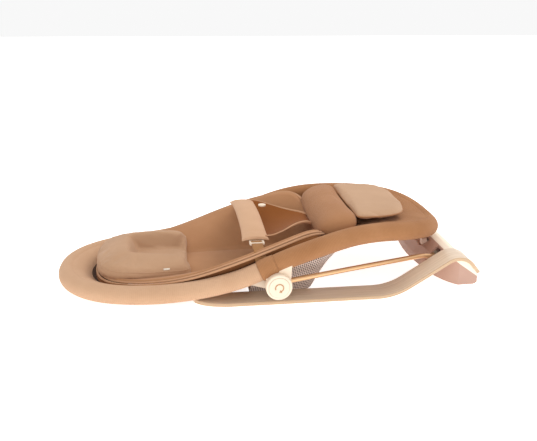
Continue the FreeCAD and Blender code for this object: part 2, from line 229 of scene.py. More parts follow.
def build_cloth_group():
    """Colour and normal of a cloth: threads across and along, pile noise and dye mottling."""
    group, given, result = new_group(
        "cloth",
        [("Light", "NodeSocketColor", (0.6, 0.4, 0.25, 1)), ("Dark", "NodeSocketColor", (0.3, 0.2, 0.1, 1)),
         ("Across", "NodeSocketFloat", 600.0), ("Along", "NodeSocketFloat", 600.0),
         ("Thread", "NodeSocketFloat", 0.3), ("Depth", "NodeSocketFloat", 0.25)],
        [("Color", "NodeSocketColor"), ("Roughness", "NodeSocketFloat"), ("Normal", "NodeSocketVector")])
    new, link = group.nodes.new, group.links.new
    where = new("ShaderNodeUVMap")
    where.uv_map = "cloth"
    split = new("ShaderNodeSeparateXYZ")
    link(where.outputs["UV"], split.inputs[0])
    threads = []
    for axis, label in (("X", "Across"), ("Y", "Along")):
        phase = new("ShaderNodeMath")
        phase.operation = "MULTIPLY"
        link(split.outputs[axis], phase.inputs[0])
        link(given.outputs[label], phase.inputs[1])
        turn = new("ShaderNodeMath")
        turn.operation = "MULTIPLY"
        turn.inputs[1].default_value = 2 * math.pi
        link(phase.outputs[0], turn.inputs[0])
        wave = new("ShaderNodeMath")
        wave.operation = "SINE"
        link(turn.outputs[0], wave.inputs[0])
        threads.append(wave)
    weave = new("ShaderNodeMath")
    weave.operation = "ADD"
    link(threads[0].outputs[0], weave.inputs[0])
    link(threads[1].outputs[0], weave.inputs[1])
    place = new("ShaderNodeTexCoord")
    pile = new("ShaderNodeTexNoise")
    pile.inputs["Scale"].default_value = 420.0
    pile.inputs["Detail"].default_value = 3.0
    dye = new("ShaderNodeTexNoise")
    dye.inputs["Scale"].default_value = 16.0
    dye.inputs["Detail"].default_value = 4.0
    for texture in (pile, dye):
        link(place.outputs["Object"], texture.inputs["Vector"])
    scaled = new("ShaderNodeMath")
    scaled.operation = "MULTIPLY"
    link(weave.outputs[0], scaled.inputs[0])
    link(given.outputs["Thread"], scaled.inputs[1])
    height = new("ShaderNodeMath")
    height.operation = "MULTIPLY_ADD"
    height.inputs[1].default_value = 0.9
    link(pile.outputs["Fac"], height.inputs[0])
    link(scaled.outputs[0], height.inputs[2])
    tone = new("ShaderNodeMapRange")
    for label, value in (("From Min", 0.0), ("From Max", 1.0), ("To Min", 0.12), ("To Max", 0.88)):
        tone.inputs[label].default_value = value
    mixed = new("ShaderNodeMath")
    mixed.operation = "MULTIPLY_ADD"
    mixed.inputs[1].default_value = 0.22
    link(scaled.outputs[0], mixed.inputs[0])
    link(dye.outputs["Fac"], mixed.inputs[2])
    link(mixed.outputs[0], tone.inputs["Value"])
    colour = new("ShaderNodeMix")
    colour.data_type = "RGBA"
    link(tone.outputs["Result"], colour.inputs["Factor"])
    link(given.outputs["Dark"], colour.inputs["A"])
    link(given.outputs["Light"], colour.inputs["B"])
    rough = new("ShaderNodeMapRange")
    rough.inputs["To Min"].default_value = 0.78
    rough.inputs["To Max"].default_value = 0.95
    link(pile.outputs["Fac"], rough.inputs["Value"])
    bump = new("ShaderNodeBump")
    bump.inputs["Distance"].default_value = 0.0008
    link(given.outputs["Depth"], bump.inputs["Strength"])
    link(height.outputs[0], bump.inputs["Height"])
    link(colour.outputs["Result"], result.inputs["Color"])
    link(rough.outputs["Result"], result.inputs["Roughness"])
    link(bump.outputs["Normal"], result.inputs["Normal"])
    return group


cloth_group = build_cloth_group()


def srgb(red, green, blue):
    """A paint-card colour, 0 to 255, as the linear light that a shader takes."""
    values = np.array([red, green, blue]) / 255
    linear = np.where(values <= 0.04045, values / 12.92, ((values + 0.055) / 1.055) ** 2.4)
    return (*linear.tolist(), 1.0)


def empty_material(name):
    """A material with nothing but its Principled shader: (material, shader, nodes, links)."""
    material = bpy.data.materials.new(name)
    material.use_nodes = True
    tree = material.node_tree
    return material, tree.nodes["Principled BSDF"], tree.nodes, tree.links


def cloth(name, light, dark, across=620.0, lengthwise=620.0, thread=0.3, depth=0.3, sheen=0.08):
    """A fabric with its own two colours, thread counts and sheen."""
    material, shader, tree_nodes, links = empty_material(name)
    finish = tree_nodes.new("ShaderNodeGroup")
    finish.node_tree = cloth_group
    for label, value in (("Light", srgb(*light)), ("Dark", srgb(*dark)), ("Across", across),
                         ("Along", lengthwise), ("Thread", thread), ("Depth", depth)):
        finish.inputs[label].default_value = value
    for label, socket in (("Color", "Base Color"), ("Roughness", "Roughness"), ("Normal", "Normal")):
        links.new(finish.outputs[label], shader.inputs[socket])
    shader.inputs["Sheen Weight"].default_value = sheen
    shader.inputs["Sheen Roughness"].default_value = 0.5
    shader.inputs["Specular IOR Level"].default_value = 0.1
    return material


# ---- Seat tubes' padded sleeves ----
# Foam-lined knitted socks pulled over the two bent tubes: a light, ribbed one on the back
# tube and a tan one on the leg tube, which ends in a stitched cuff behind each hub.
MM = 0.001
HOOP = [(-446, 18, 21), (-438, 60, 21), (-410, 106, 21), (-364, 142, 21.6), (-306, 163, 23.8),
        (-246, 174, 26), (-186, 181.5, 33), (-136, 187, 42), (-81, 191.5, 56), (-36, 194, 73),
        (19, 194.5, 99), (69, 194.5, 117), (124, 187.5, 131.5), (179, 170, 140), (242, 156.5, 142),
        (306, 147, 138), (358, 118, 131), (390, 72, 120), (399, 24, 114)]


def both_sides(half, count):
    """A closed smooth loop in metres from its left half (X, distance from the middle, Z) in mm."""
    half = np.array(half, float) * MM
    return smoothed(np.concatenate([half * (1, -1, 1), half[::-1]]), count, closed=True)


def inward(loop):
    """Unit directions square to a loop, level, towards its inside."""
    ahead = along(loop, closed=True)
    side = np.stack([-ahead[:, 1], ahead[:, 0], np.zeros(len(loop))], -1)
    return side / np.linalg.norm(side, axis=1, keepdims=True)


def stretch_of(keep):
    """Indices of the loop points that keep chooses, in order, with no break at the loop's join."""
    chosen = np.flatnonzero(keep)
    gap = np.flatnonzero(np.diff(chosen) > 1)
    return np.roll(chosen, -(gap[0] + 1)) if len(gap) else chosen


hoop = both_sides(HOOP, 760)
hoop_in = inward(hoop)
SEAM_X, SLEEVE_R = -0.029, 0.0204

light_rib = cloth("light_ribbed_knit", (213, 175, 143), (191, 150, 117), across=245.0, lengthwise=620.0,
                  thread=0.5, depth=0.5)
tan_rib = cloth("tan_ribbed_knit", (184, 134, 93), (148, 99, 62), across=330.0, lengthwise=620.0,
                thread=0.5, depth=0.5)
back_path = hoop[stretch_of(hoop[:, 0] < SEAM_X + 0.004)]
leg_path = hoop[stretch_of(hoop[:, 0] > SEAM_X)]
sleeve_back = piece("sleeve_back", grid_mesh("sleeve_back", capped(tube_points(back_path, SLEEVE_R, 40)),
                                             wrap_v=True, flip=True), None, light_rib)
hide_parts("back_sleeve")
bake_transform(sleeve_back)
sleeve_leg = piece("sleeve_leg", grid_mesh("sleeve_leg", capped(tube_points(leg_path, SLEEVE_R + 0.0006, 40)),
                                           wrap_v=True, flip=True), "leg_frame", tan_rib)
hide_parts("leg_sleeve")

# The cuff: the tan sleeve's hem, turned over and stitched down, a little proud of the sleeve.
for side in (-1, 1):
    run = leg_path[:14] if side * leg_path[0, 1] > 0 else leg_path[-14:][::-1]
    lap = np.interp(np.arange(14), [0, 1, 3, 9, 10, 11, 13], [0.2, 0.9, 1.3, 1.3, 0.7, 0.6, 0.1]) * 0.0011
    cuff = tube_points(run, SLEEVE_R + 0.0006 + lap, 40)
    thing = piece(f"cuff_{'left' if side < 0 else 'right'}", grid_mesh("cuff", cuff, wrap_v=True, flip=True),
                  "leg_frame", tan_rib)
    thing.modifiers.new("hem", "SOLIDIFY").thickness = 0.0008

# ---- Head and foot panels ----
# The sleeves' knit runs on inwards from the tube: at the head to the edge of a dark air mesh,
# and at the foot right across, stretched flat over the tube as a closed panel.
dark_mesh, dark_mesh_shader, _, _ = empty_material("dark_air_mesh")


def mesh_look(material, shader, pale, dark, pitch, share):
    """Open knitted mesh: pale threads round dark holes in a diagonal check on the cloth's own map; the holes'
    dark is painted shade, the shade seen through the mesh.
    """
    nodes_, links = material.node_tree.nodes, material.node_tree.links
    where = nodes_.new("ShaderNodeUVMap")
    where.uv_map = "cloth"
    turn = nodes_.new("ShaderNodeMapping")
    turn.inputs["Rotation"].default_value = (0, 0, math.radians(45))
    turn.inputs["Scale"].default_value = (1 / pitch, 1 / pitch, 1)
    links.new(where.outputs["UV"], turn.inputs["Vector"])
    split = nodes_.new("ShaderNodeSeparateXYZ")
    links.new(turn.outputs["Vector"], split.inputs[0])
    waves = []
    for axis in ("X", "Y"):
        wave = nodes_.new("ShaderNodeMath")
        wave.operation = "SINE"
        scale = nodes_.new("ShaderNodeMath")
        scale.operation = "MULTIPLY"
        scale.inputs[1].default_value = 2 * math.pi
        links.new(split.outputs[axis], scale.inputs[0])
        links.new(scale.outputs[0], wave.inputs[0])
        waves.append(wave)
    cross = nodes_.new("ShaderNodeMath")
    cross.operation = "MULTIPLY"
    links.new(waves[0].outputs[0], cross.inputs[0])
    links.new(waves[1].outputs[0], cross.inputs[1])
    mask = nodes_.new("ShaderNodeMapRange")
    mask.inputs["From Min"].default_value = share - 0.25
    mask.inputs["From Max"].default_value = share + 0.25
    links.new(cross.outputs[0], mask.inputs["Value"])
    colour = nodes_.new("ShaderNodeMix")
    colour.data_type = "RGBA"
    colour.inputs["A"].default_value = srgb(*dark)
    colour.inputs["B"].default_value = srgb(*pale)
    links.new(mask.outputs["Result"], colour.inputs["Factor"])
    links.new(colour.outputs["Result"], shader.inputs["Base Color"])
    bump = nodes_.new("ShaderNodeBump")
    bump.inputs["Strength"].default_value = 0.6
    bump.inputs["Distance"].default_value = 0.0006
    links.new(mask.outputs["Result"], bump.inputs["Height"])
    links.new(bump.outputs["Normal"], shader.inputs["Normal"])
    shader.inputs["Roughness"].default_value = 0.85
    shader.inputs["Specular IOR Level"].default_value = 0.2


# Painted shade: the near-black holes stand for the shade seen through the air mesh.
mesh_look(dark_mesh, dark_mesh_shader, (120, 88, 66), (38, 26, 22), 0.0042, 0.2)


def bridged(start, end, power, rows=14):
    """A sheet between two lines: level position in even steps, height by a power of the step."""
    t = np.linspace(0, 1, rows)[None, :, None]
    sheet = start[:, None] + (end - start)[:, None] * t
    sheet[..., 2] = start[:, None, 2] + (end - start)[:, None, 2] * t[..., 0] ** power
    return sheet


HEAD_FROM_X, HEAD_LONG = -0.255, 0.190
KNIT_NARROW, KNIT_WIDER, KNIT_Z = 0.033, 0.021, 0.0165
AIR_WIDE, AIR_Z = 0.035, 0.0135
ids = stretch_of(hoop[:, 0] < HEAD_FROM_X)
edge = hoop[ids]
shoulder = np.radians(38)
on_tube = (edge + hoop_in[ids] * SLEEVE_R * math.sin(shoulder)
           + np.array([0, 0, SLEEVE_R * math.cos(shoulder)]))
reach = KNIT_NARROW + KNIT_WIDER * np.clip((HEAD_FROM_X - edge[:, 0]) / HEAD_LONG, 0, 1) ** 0.8
rim = edge + hoop_in[ids] * reach[:, None]
rim[:, 2] = KNIT_Z
head_grid = bridged(on_tube, rim, 1.5)
head_panel = piece("head_panel", grid_mesh("head_panel", head_grid, flip=True), "back_frame", light_rib)
under = rim + hoop_in[ids] * AIR_WIDE
under[:, 2] = AIR_Z
air_grid = bridged(rim, under, 1.0, 8)
air_edge = piece("head_air_mesh", grid_mesh("head_air_mesh", air_grid, flip=True), "back_frame", dark_mesh)

# The foot panel dips towards the knee block, so a pocket stays open under the leg flap.
FOOT_FROM_X = 0.170
ids = stretch_of(hoop[:, 0] > FOOT_FROM_X)
edge = hoop[ids]
on_tube = edge + hoop_in[ids] * SLEEVE_R * 0.35 + np.array([0, 0, SLEEVE_R * 0.94])
spine = np.stack([np.clip(edge[:, 0], 0.175, 0.31), np.zeros(len(ids)),
                  np.interp(edge[:, 0], [FOOT_FROM_X, 0.20, 0.26], [0.112, 0.122, 0.141])], -1)
foot_grid = bridged(on_tube, spine, 0.6, 24)
foot_cover = piece("foot_cover", grid_mesh("foot_cover", foot_grid, flip=True), "leg_frame", tan_rib)
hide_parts("foot_panel")

# ---- Seat liner ----
# One padded tub, sewn from woven cloth over foam: a flat bed, sides that rise to a rim just
# inside the tube, and a double piping round the rim.


def eased(value):
    """0 below 0, 1 above 1, and a smooth S between."""
    value = np.clip(value, 0, 1)
    return value * value * (3 - 2 * value)


def welded(mesh):
    """Joins the points that lie on one another, which closes a grid whose first row is doubled up."""
    loose = bmesh.new()
    loose.from_mesh(mesh)
    bmesh.ops.remove_doubles(loose, verts=loose.verts, dist=0.00002)
    bmesh.ops.dissolve_degenerate(loose, edges=loose.edges, dist=0.00002)
    loose.to_mesh(mesh)
    loose.free()
    return mesh


RIM = [(-375, 24, 30), (-369, 61, 30), (-350, 98, 32), (-314, 127, 35), (-262, 150, 42), (-208, 165, 52),
       (-156, 175, 66), (-104, 181, 85), (-54, 183, 103), (-6, 180, 120), (42, 170, 134), (84, 160, 146),
       (112, 146, 142), (128, 112, 128), (134, 50, 112)]
BED_X, BED_Z = np.array([-300, -150, 0, 60]) * MM, np.array([17.5, 18, 20, 25]) * MM
LINER_THICK, RIM_POINTS, BED_SHARE, BED_CROWN = 0.007, 480, 0.42, 0.005
rim_loop = both_sides(RIM, RIM_POINTS)
rim_in = inward(rim_loop)
inner_rim = rim_loop + rim_in * 0.004
middle = np.zeros((RIM_POINTS, 3))
middle[:, 0] = np.clip(inner_rim[:, 0], -0.300, 0.050)
middle[:, 2] = np.interp(middle[:, 0], BED_X, BED_Z)
out = inner_rim - middle
bed_rows = [middle + out * (1, 1, 0) * BED_SHARE * t + np.array([0, 0, BED_CROWN]) * (1 - t**2.5)
            for t in np.linspace(0, 1, 10)]
wall_rows = []
for t in np.linspace(0, 1, 12)[1:]:
    row = middle + out * (1, 1, 0) * (BED_SHARE + (1 - BED_SHARE) * t**0.92)
    row[:, 2] = middle[:, 2] + out[:, 2] * (0.35 * (1 - (1 - t) ** 2.2) + 0.65 * t)
    wall_rows.append(row)
liner_grid = np.stack(bed_rows + wall_rows, 1)
liner_weave = cloth("liner_weave", (190, 142, 105), (163, 116, 80), across=520.0, lengthwise=520.0,
                    thread=0.3, depth=0.3, sheen=0.1)
liner = piece("seat_tub", welded(grid_mesh("seat_tub", liner_grid, wrap_u=True)), None, liner_weave)
wall = liner.modifiers.new("foam", "SOLIDIFY")
wall.thickness, wall.offset = LINER_THICK, -1.0
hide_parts("back_liner", "seat_liner")
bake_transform(liner)

# A skirt drops from the rim: onto the tube where that is near, as along the sides, and
# straight down where it is not, as at the two ends. Its darker brown is painted shade under the rim.
SKIRT_IN, SKIRT_UP, SKIRT_DROP, LOWEST_HEM = 0.017, 0.0125, 0.030, 0.0185
gap = np.linalg.norm(rim_loop[:, None] - hoop[None], axis=2)
nearest = gap.argmin(1)
beside = hoop[nearest] + hoop_in[nearest] * SKIRT_IN + np.array([0, 0, SKIRT_UP])
beside[:, 0] = rim_loop[:, 0]
hanging = rim_loop - rim_in * 0.006
hanging[:, 2] = np.maximum(LOWEST_HEM, rim_loop[:, 2] - SKIRT_DROP)
hem = beside + (hanging - beside) * eased((gap.min(1) - 0.034) / 0.020)[:, None]
skirt_top = rim_loop - rim_in * 0.002 - np.array([0, 0, 0.001])
skirt_grid = np.stack([skirt_top + (hem - skirt_top) * t for t in np.linspace(0, 1, 8)], 1)
# Painted shade: the skirt's darker tone is the shade that falls under the liner's rim.
skirt_painted_shade = cloth("skirt_painted_shade", (140, 92, 54), (112, 70, 38), across=520.0, lengthwise=520.0)
skirt = piece("liner_skirt", grid_mesh("liner_skirt", skirt_grid, wrap_u=True), None, skirt_painted_shade)
skirt.modifiers.new("cloth", "SOLIDIFY").thickness = 0.0012
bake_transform(skirt)

piping_cloth = cloth("piping", (202, 158, 124), (176, 132, 98), across=500.0, lengthwise=500.0)
PIPING_R = 0.0026
for label, shift, drop in (("inner", 0.0026, -0.0014), ("outer", -0.0040, 0.0016)):
    line = rim_loop + rim_in * shift - np.array([0, 0, drop])
    cord = piece(f"rim_piping_{label}", grid_mesh("rim_piping", tube_points(line, PIPING_R, 12, closed=True),
                                                  wrap_u=True, wrap_v=True, flip=True),
                 None, piping_cloth)
    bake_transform(cord)

# ---- Stuffed pieces: head pillow, knee block and leg flap ----
# Each is a sewn case filled with soft fibre, so it is closed, swells between its seams, and
# sinks a little where it is sewn down.


def stuffed(thing, voxel, pressure, cap):
    """Swells a closed case: even remesh, 20 steps of cloth under pressure, no point moving beyond cap."""
    def finished():
        """The mesh as its modifiers leave it; it takes the place of the object's own."""
        shape = bpy.data.meshes.new_from_object(thing.evaluated_get(bpy.context.evaluated_depsgraph_get()))
        thing.modifiers.clear()
        thing.data = shape
        return shape

    remesh = thing.modifiers.new("even", "REMESH")
    remesh.mode, remesh.voxel_size = "VOXEL", voxel
    case = finished()
    count = len(case.vertices)
    rest = np.empty(count * 3, np.float32)
    case.vertices.foreach_get("co", rest)
    swell = thing.modifiers.new("swell", "CLOTH")
    swell.settings.use_pressure = True
    swell.settings.uniform_pressure_force = pressure
    swell.settings.effector_weights.gravity = 0.0
    for step in range(1, 21):
        scene.frame_set(step)
    moved = np.empty(count * 3, np.float32)
    case = finished()
    case.vertices.foreach_get("co", moved)
    shift = (moved - rest).reshape(-1, 3)
    size = np.linalg.norm(shift, axis=1, keepdims=True)
    shift *= np.minimum(1.0, cap / np.maximum(size, 1e-9))
    case.vertices.foreach_set("co", (rest.reshape(-1, 3) + shift).ravel())
    scene.frame_set(1)
    finer = thing.modifiers.new("finer", "SUBSURF")
    finer.levels = finer.render_levels = 1
    case = finished()
    places = np.empty(len(case.vertices) * 3, np.float32)
    case.vertices.foreach_get("co", places)
    places = places.reshape(-1, 3)
    corner = np.empty(len(case.loops), np.int32)
    case.loops.foreach_get("vertex_index", corner)
    layer = case.uv_layers.new(name="cloth")
    flat = np.stack([places[:, 0], places[:, 1] + 0.8 * places[:, 2]], -1)[corner]
    layer.data.foreach_set("uv", flat.astype(np.float32).ravel())
    case.polygons.foreach_set("use_smooth", np.ones(len(case.polygons), bool))
    case.update()


def laid_on(line, thing, proud):
    """Each point of a line moved to the nearest place on a piece, then out by proud."""
    tree = BVHTree.FromObject(thing, bpy.context.evaluated_depsgraph_get())
    found = [tree.find_nearest(Vector(p))[:2] for p in line]
    return np.array([place + normal * proud for place, normal in found])


def closed_case(name, rows, body, material):
    """A closed piece from rows that run from a middle point outwards and back to a middle point."""
    grid = np.stack(rows, 1)
    return piece(name, grid_mesh(name, grid, wrap_u=True), body, material)


pillow_knit = cloth("pillow_jersey", (195, 157, 126), (172, 135, 105), across=480.0, lengthwise=480.0,
                    thread=0.25, depth=0.3, sheen=0.1)
PILLOW = [(-377, 20, 0), (-373, 64, 0), (-349, 101, 0), (-300, 119, 0), (-242, 122, 0), (-190, 119, 0),
          (-172, 116, 0), (-168, 98, 0), (-169, 20, 0)]
CREST_X = np.array([-377, -345, -300, -200, -184, -170]) * MM
CREST_Z = np.array([68, 76, 78, 78, 76, 62]) * MM
PILLOW_BED_Z, PILLOW_BASE_Z = 0.040, 0.021
pillow_edge = both_sides(PILLOW, 240)
pillow_mid = np.zeros((240, 3))
pillow_mid[:, 0] = np.clip(pillow_edge[:, 0], -0.300, -0.235)


def pillow_top(place, share):
    """Height of the pillow: a bolster round three sides of a sunk bed, falling to the seam at the edge."""
    x, y = place[:, 0], np.abs(place[:, 1])
    crest = np.interp(x, CREST_X, CREST_Z)
    bed_half = np.interp(x, [-0.29, -0.17], [0.040, 0.058])
    from_bed = np.hypot(np.maximum(-0.286 - x, 0), np.maximum(y - bed_half, 0))
    top = PILLOW_BED_Z + (crest - PILLOW_BED_Z) * eased(from_bed / 0.024)
    seam = 0.056 - 0.010 * eased((x + 0.190) / 0.015) * eased((0.070 - y) / 0.030)
    return seam + (top - seam) * np.sqrt(np.clip(1 - share**7, 0, 1)), seam


rows = []
for share in np.concatenate([[0.002], np.linspace(0.08, 0.9, 14), [0.94, 0.97, 0.99, 1.0]]):
    row = pillow_mid + (pillow_edge - pillow_mid) * share
    row[:, 2], seam_height = pillow_top(row, share)
    rows.append(row)
pillow_out = inward(pillow_edge) * -1
base_height = PILLOW_BASE_Z + 0.010 * (np.abs(pillow_edge[:, 1]) / 0.12) ** 2
for t in np.linspace(0, 1, 9)[1:]:
    row = pillow_edge + pillow_out * 0.003 * math.sin(math.pi * t) - pillow_out * 0.006 * t**3
    row[:, 2] = seam_height + (base_height - seam_height) * t
    rows.append(row)
for share in (0.9, 0.6, 0.3, 0.002):
    row = pillow_mid + (pillow_edge - pillow_mid) * share
    row[:, 2] = PILLOW_BASE_Z + (base_height - PILLOW_BASE_Z) * share**2
    rows.append(row)
pillow_seam = np.copy(pillow_edge)
pillow_seam[:, 2] = seam_height
pillow = closed_case("head_pillow", rows, "back_frame", pillow_knit)
stuffed(pillow, 0.0045, 4.0, 0.006)
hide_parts("pillow")
seam_line = laid_on(pillow_seam, pillow, 0.0)
piece("pillow_seam", grid_mesh("pillow_seam", tube_points(seam_line, 0.0011, 8, closed=True), wrap_u=True,
                               wrap_v=True, flip=True), "back_frame", pillow_knit)

knee_weave = cloth("knee_weave", (178, 130, 93), (154, 107, 72), across=500.0, lengthwise=500.0, thread=0.3,
                   depth=0.3, sheen=0.1)
KNEE = np.array([(140, 0, 88), (130, 0, 104), (118, 0, 124), (113, 0, 148), (140, 0, 170), (178, 0, 178),
                 (202, 0, 172), (206, 0, 152), (190, 0, 126), (164, 0, 102), (146, 0, 86)]) * MM
knee_ring = smoothed(KNEE, 72, closed=True)
knee_heart, KNEE_HALF = np.array([162, 0, 132]) * MM, 0.145
rows = []
for y in np.sin(np.linspace(-math.pi / 2, math.pi / 2, 44)):
    shrink = max((1 - abs(y) ** 9) ** 0.45, 0.004)
    row = knee_heart + (knee_ring - knee_heart) * shrink
    row[:, 1] = y * KNEE_HALF
    rows.append(row)
knee = closed_case("knee_roll", rows, "leg_frame", knee_weave)
knee.data.flip_normals()
stuffed(knee, 0.005, 4.0, 0.005)
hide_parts("knee_block")

flap_knit = cloth("flap_jersey", (194, 158, 128), (176, 140, 110), across=480.0, lengthwise=480.0,
                  thread=0.25, depth=0.3, sheen=0.1)
FLAP = [(196, 30, 0), (196, 120, 0), (204, 131, 0), (258, 128, 0), (298, 117, 0), (318, 96, 0), (328, 50, 0),
        (330, 16, 0)]
flap_edge = both_sides(FLAP, 200)
flap_mid = np.zeros((200, 3))
flap_mid[:, 0] = np.clip(flap_edge[:, 0], 0.240, 0.285)
FLAP_TOP_Z, FLAP_SEAM_Z, FLAP_UNDER_Z = 0.1695, 0.166, 0.1625
rows = []
for share in (0.002, 0.25, 0.5, 0.7, 0.85, 0.94, 1.0):
    row = flap_mid + (flap_edge - flap_mid) * share
    row[:, 2] = FLAP_TOP_Z + 0.0030 * math.sqrt(1 - share**4)
    rows.append(row)
for share in (1.0, 0.94, 0.85, 0.6, 0.3, 0.002):
    row = flap_mid + (flap_edge - flap_mid) * share
    row[:, 2] = FLAP_UNDER_Z - 0.0010 * (1 - share)
    rows.append(row)
flap = closed_case("leg_rest_pad", rows, "leg_frame", flap_knit)
stuffed(flap, 0.004, 4.0, 0.004)
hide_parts("leg_flap")
flap_line = np.copy(flap_edge)
flap_line[:, 2] = FLAP_SEAM_Z
flap_seam = tube_points(laid_on(flap_line, flap, 0.0), 0.0016, 8, closed=True)
piece("flap_piping", grid_mesh("flap_piping", flap_seam, wrap_u=True, wrap_v=True, flip=True), "leg_frame",
      knee_weave)

# ---- Lap harness ----
# A soft sleeve round the lap webbing, sewn across near each end; a moulded ladder-lock and a
# length of webbing at each side; and a crotch panel that narrows to a strap, its brown cloth
# painted darker with the shade that fills its sagging middle.
belt_knit = cloth("belt_sleeve", (210, 170, 137), (190, 150, 118), across=480.0, lengthwise=480.0)
BELT_HALF, BELT_X, BELT_Z, BELT_SAG = 0.137, -0.029, 0.1440, 0.0120
ys = np.linspace(-1, 1, 60)
turn = np.linspace(0, 2 * np.pi, 36, endpoint=False)
flare = 0.0265 + 0.0035 * np.abs(ys) ** 6
puff = 0.0052 - 0.0018 * np.exp(-(((np.abs(ys) - 0.82) / 0.02) ** 2)) - 0.0022 * np.abs(ys) ** 12
belt_grid = np.stack([
    BELT_X + flare[:, None] * np.sign(np.cos(turn)) * np.abs(np.cos(turn)) ** 0.7 + 0 * ys[:, None],
    BELT_HALF * ys[:, None] + 0 * turn,
    BELT_Z - BELT_SAG * ys[:, None] ** 2 + puff[:, None] * np.sign(np.sin(turn)) * np.abs(np.sin(turn)) ** 0.8
    - 6.0 * (flare[:, None] * np.cos(turn)) ** 2], -1)
belt = piece("lap_belt_sleeve", grid_mesh("lap_belt_sleeve", capped(belt_grid), wrap_v=True, flip=True),
             "leg_frame", belt_knit)
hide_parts("lap_belt")

webbing_weave = cloth("webbing", (192, 142, 94), (156, 108, 66), across=900.0, lengthwise=420.0,
                      thread=0.6, depth=0.6)
WEB_LINE = np.array([(-28, -140, 127), (-28, -152, 125), (-26, -164, 121), (-25, -174, 116), (-24, -181, 108),
                     (-23, -184, 98), (-23, -186, 88)]) * MM
for side, label in ((-1, "left"), (1, "right")):
    line = smoothed(WEB_LINE * (1, -side, 1), 26)
    ahead = along(line)
    normal = np.cross(ahead, (1.0, 0, 0))
    normal /= np.linalg.norm(normal, axis=1, keepdims=True)
    width = np.array([-12, -11.6, 11.6, 12, 11.6, -11.6]) * MM
    thick = np.array([0, 0.8, 0.8, 0, -0.8, -0.8]) * MM
    band = line[:, None] + width[None, :, None] * np.array([1.0, 0, 0])
    band = band + thick[None, :, None] * normal[:, None]
    web = piece(f"webbing_{label}", grid_mesh("webbing", capped(band), wrap_v=True, flip=side > 0),
                "leg_frame", webbing_weave)
    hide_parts(f"waist_webbing_{label}")

# Painted shade: the crotch panel's dark brown is partly its own colour and partly the shade in its sagging
# trough.
crotch_painted_shade_cloth = cloth("crotch_painted_shade_cloth", (148, 88, 38), (120, 67, 26), across=600.0, lengthwise=600.0,
                      thread=0.2, depth=0.2)
EDGE_X = np.array([-6, 8, 22, 42, 62, 84, 103, 118, 127, 128, 124]) * MM
EDGE_Y = np.array([130, 127, 114, 92, 66, 44, 34, 30, 28, 27, 26]) * MM
EDGE_Z = np.array([134, 133, 132, 131, 131, 131, 129, 124, 115, 106, 98]) * MM
edge_line = smoothed(np.stack([EDGE_X, EDGE_Y, EDGE_Z], -1), 60)
across = np.linspace(-1, 1, 40)
sag = 0.034 * np.interp(edge_line[:, 1], [0.026, 0.05, 0.13], [0.0, 0.25, 1.0])
crotch_grid = np.stack([np.broadcast_to(edge_line[:, :1], (60, 40)),
                        edge_line[:, 1:2] * across,
                        edge_line[:, 2:] - sag[:, None] * (1 - np.abs(across) ** 2.2)], -1)
crotch = piece("crotch_cloth", grid_mesh("crotch_cloth", crotch_grid, flip=True), "leg_frame",
               crotch_painted_shade_cloth)
crotch.modifiers.new("cloth", "SOLIDIFY").thickness = 0.0014
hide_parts("crotch_panel")
for side, label in ((-1, "left"), (1, "right")):
    line = edge_line * (1, side, 1)
    swell = np.interp(np.arange(60), [0, 20, 38, 50, 59], [0.0016, 0.0016, 0.0042, 0.0048, 0.0030])
    edging = grid_mesh("crotch_edge", capped(tube_points(line, swell, 14)), wrap_v=True, flip=True)
    piece(f"crotch_edge_{label}", edging, "leg_frame", piping_cloth)

# ---- Mesh sling ----
# An open knitted mesh trough below the seat, sewn to the tube at both sides, with a strip of
# the tan knit as a facing along its upper edge.
sling_mesh, sling_shader, _, _ = empty_material("sling_mesh")
# Painted shade: the near-black holes stand for the shade under the seat seen through the sling.
mesh_look(sling_mesh, sling_shader, (226, 204, 192), (22, 18, 26), 0.0058, -0.12)
STATIONS = [(-42, -42, 5), (0, 0, 4.5), (50, 50, 4.5), (84, 100, 5), (97, 132, 9), (113, 152, 50),
            (140, 180, 88), (162, 196, 112)]
SLING_HALF = 0.137
low_x, top_x, low_z = smoothed(np.array(STATIONS, float) * MM, 60).T
near_hoop = hoop[hoop[:, 1] < 0]
order = np.argsort(near_hoop[:, 0])
top_y = np.interp(top_x, near_hoop[order, 0], -near_hoop[order, 1]) - 0.012
top_z = np.interp(top_x, near_hoop[order, 0], near_hoop[order, 2]) - 0.012
half = []
for t in np.linspace(0, 1, 14):
    half.append(np.stack([top_x + (low_x - top_x) * t, top_y + (SLING_HALF - top_y) * t**1.1,
                          top_z + (low_z - top_z) * t], -1))
for t in np.linspace(1, 0, 9)[1:]:
    half.append(np.stack([low_x, 0 * low_x + SLING_HALF * t, low_z - 0.0006 * (1 - t)], -1))
half = np.stack(half, 1)
sling_grid = np.concatenate([half * (1, -1, 1), half[:, ::-1][:, 1:]], 1)
sling = piece("sling_cloth", grid_mesh("sling_cloth", sling_grid), "leg_frame", sling_mesh)
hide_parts("mesh_sling")
drop_way = (half[:, 1] - half[:, 0]) / np.linalg.norm(half[:, 1] - half[:, 0], axis=1, keepdims=True)
facing = half[14:, :1] + drop_way[14:, None] * np.linspace(0, 0.017, 5)[None, :, None]
facing *= (1, -1, 1)
for side, label in ((1, "left"), (-1, "right")):
    grid = (facing - (0, 0.0016, 0)) * (1, side, 1)
    strip = piece(f"sling_facing_{label}", grid_mesh("sling_facing", grid, flip=side < 0), "leg_frame",
                  tan_rib)
    strip.modifiers.new("cloth", "SOLIDIFY").thickness = 0.0010

# ---- Runners ----
# Two bands of steam-bent, laminated ash under clear satin lacquer: a face with the grain
# running along the band, and cut edges where the thin plies show as stripes.
RUNNER = [(-167, 16), (-98, 10), (271, 10), (422, 105), (466, 53)]
RUNNER_BEND = [150, 130, 46]
RUNNER_Y, RUNNER_WIDE, RUNNER_THICK, TIP_LONG = 0.172, 0.060, 0.008, 0.050


